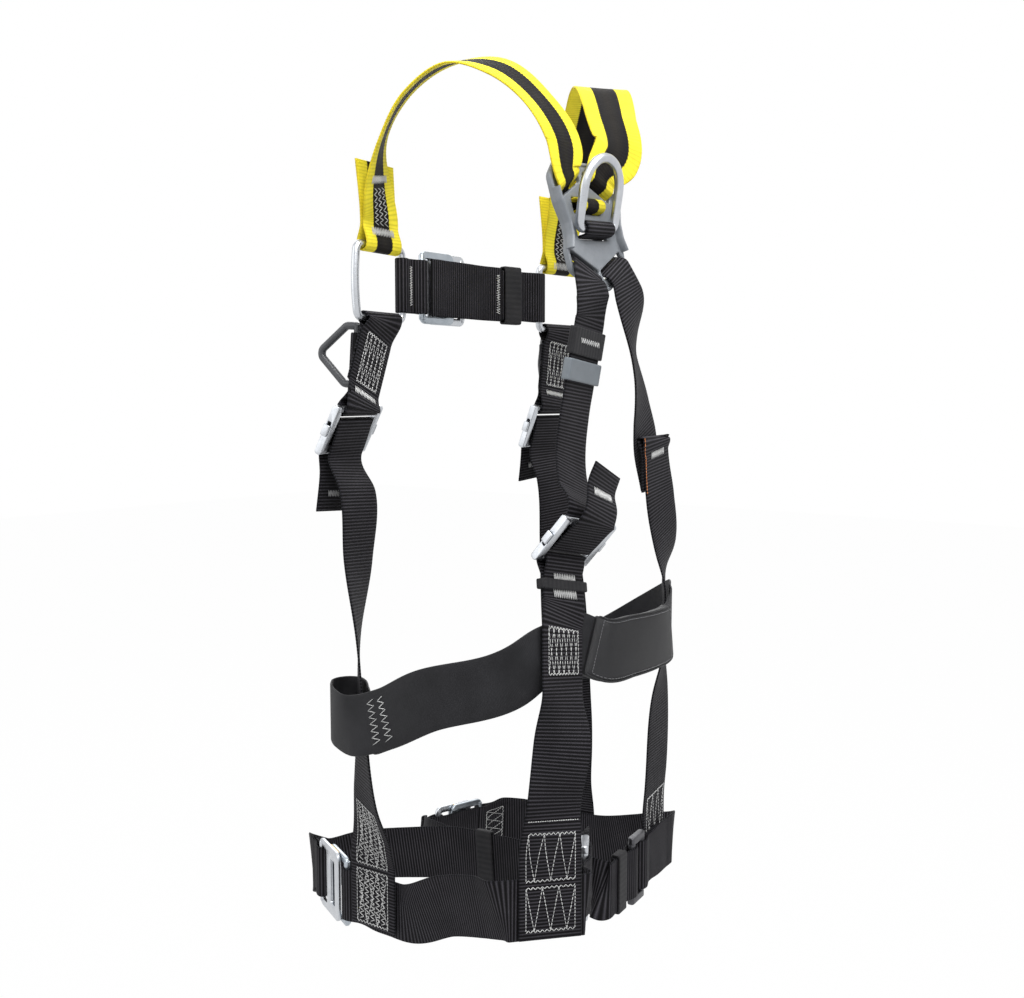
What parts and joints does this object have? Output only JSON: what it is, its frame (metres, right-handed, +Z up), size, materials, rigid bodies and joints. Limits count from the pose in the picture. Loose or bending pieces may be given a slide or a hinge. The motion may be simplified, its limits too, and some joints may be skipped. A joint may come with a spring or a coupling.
{
  "type": "full body safety harness",
  "caption": "Full body fall arrest harness in its worn shape: webbing straps over the shoulders and round the legs, a dorsal ring on a plate, buckles, adjusters and an elastic seat band.",
  "frame": {"origin": "middle of the wearer's waist", "axes": "+X to the wearer's left, +Y to the wearer's back, +Z up"},
  "size_m": [0.3224, 0.2876, 0.6902],
  "materials": {
    "black_webbing": "ribbed woven webbing",
    "yellow_webbing": "woven webbing, lemon edges and a dark ribbed centre",
    "elastic": "smooth dark elastic",
    "pad_fabric": "plain black padded fabric",
    "steel": "bright zinc plated",
    "plate_plastic": "satin mid grey",
    "ring_plastic": "satin dark grey"
  },
  "bodies": {
    "webbing": {"dorsal_plate": "plate_plastic", "dorsal_black_roll": "black_webbing", "dorsal_yellow_roll": "yellow_webbing", "shoulder_strap_left": "yellow_webbing", "shoulder_strap_right": "yellow_webbing", "front_ring_left": "steel", "front_ring_right": "steel", "front_upper_strap_left": "black_webbing", "front_upper_strap_right": "black_webbing", "lanyard_tab_left": "black_webbing", "lanyard_tab_right": "black_webbing", "front_adjuster_left": "steel", "front_adjuster_right": "steel", "front_lower_strap_left": "black_webbing", "front_lower_strap_right": "black_webbing", "chest_strap_left": "black_webbing", "chest_strap_right": "black_webbing", "chest_flap": "black_webbing", "chest_buckle_frame": "steel", "back_strap_left": "black_webbing", "back_strap_right": "black_webbing", "back_adjuster": "steel", "hip_strap_left": "black_webbing", "hip_strap_right": "black_webbing", "hip_keeper": "elastic", "seat_band": "elastic", "label_sleeve": "pad_fabric", "leg_strap_outer_left": "black_webbing", "leg_strap_outer_right": "black_webbing", "leg_strap_inner_left": "black_webbing", "leg_strap_inner_right": "black_webbing", "leg_buckle_frame_left": "steel", "leg_buckle_frame_right": "steel", "leg_back_ring_left": "steel", "leg_back_ring_right": "steel", "leg_flap_right": "black_webbing"},
    "dorsal_d_ring": {"dorsal_d_ring": "steel"},
    "lanyard_ring_left": {"lanyard_ring_left": "ring_plastic"},
    "lanyard_ring_right": {"lanyard_ring_right": "ring_plastic"},
    "front_slider_left": {"front_slider_left": "steel"},
    "front_slider_right": {"front_slider_right": "steel"},
    "back_slider": {"back_slider": "steel"},
    "chest_tongue": {"chest_buckle_tongue": "steel"},
    "leg_tongue_left": {"leg_buckle_tongue_left": "steel"},
    "leg_tongue_right": {"leg_buckle_tongue_right": "steel"},
    "back_keeper": {"back_keeper": "elastic"},
    "back_slide_plate": {"back_slide_plate": "plate_plastic"},
    "chest_keeper": {"chest_keeper": "elastic"},
    "leg_keeper_left": {"leg_keeper_left": "elastic"},
    "leg_keeper_right": {"leg_keeper_right": "elastic"}
  },
  "joints": [
    {"name": "dorsal_ring_swing", "type": "hinge", "parent": "webbing", "child": "dorsal_d_ring", "pos_m": [0.01507, 0.07376, 0.22024], "axis": [-0.9976, -0.0145, 0.0682], "range_deg": [0, 90]},
    {"name": "lanyard_left_swing", "type": "hinge", "parent": "webbing", "child": "lanyard_ring_left", "pos_m": [0.1059, -0.08272, 0.12945], "axis": [0.0146, -0.072, -0.9973], "range_deg": [-50, 50]},
    {"name": "lanyard_right_swing", "type": "hinge", "parent": "webbing", "child": "lanyard_ring_right", "pos_m": [-0.1176, -0.07021, 0.12803], "axis": [-0.0002, -0.0043, -1], "range_deg": [-95, 5]},
    {"name": "front_left_adjust", "type": "slide", "parent": "webbing", "child": "front_slider_left", "axis": [-0.0815, 0.4623, 0.8829], "range_m": [0, 0.003]},
    {"name": "front_right_adjust", "type": "slide", "parent": "webbing", "child": "front_slider_right", "axis": [0.0131, 0.3744, 0.9272], "range_m": [0, 0.003]},
    {"name": "back_adjust", "type": "slide", "parent": "webbing", "child": "back_slider", "axis": [0.0902, -0.6382, -0.7646], "range_m": [0, 0.003]},
    {"name": "chest_tongue_swing", "type": "hinge", "parent": "webbing", "child": "chest_tongue", "pos_m": [-0.00405, -0.07295, 0.184], "axis": [0, 0, -1], "range_deg": [0, 35]},
    {"name": "leg_left_tongue_swing", "type": "hinge", "parent": "webbing", "child": "leg_tongue_left", "pos_m": [0.09753, -0.13814, -0.292], "axis": [0, 0, -1], "range_deg": [0, 35]},
    {"name": "leg_right_tongue_swing", "type": "hinge", "parent": "webbing", "child": "leg_tongue_right", "pos_m": [-0.04856, -0.14209, -0.31019], "axis": [-0.0694, 0.0073, 0.9976], "range_deg": [0, 35]},
    {"name": "back_keeper_slide", "type": "slide", "parent": "webbing", "child": "back_keeper", "axis": [0.1122, -0.1122, -0.9873], "range_m": [-0.003, 0.002]},
    {"name": "back_plate_slide", "type": "slide", "parent": "webbing", "child": "back_slide_plate", "axis": [0.1122, -0.1122, -0.9873], "range_m": [0, 0.02]},
    {"name": "chest_keeper_slide", "type": "slide", "parent": "webbing", "child": "chest_keeper", "axis": [-0.9888, 0.1492, 0], "range_m": [-0.003, 0.002]},
    {"name": "leg_left_keeper_slide", "type": "slide", "parent": "webbing", "child": "leg_keeper_left", "axis": [0, 0.9971, 0.0767], "range_m": [-0.012, 0.03]},
    {"name": "leg_right_keeper_slide", "type": "slide", "parent": "webbing", "child": "leg_keeper_right", "axis": [-0.9903, -0.1392, 0], "range_m": [-0.002, 0.002]}
  ]
}
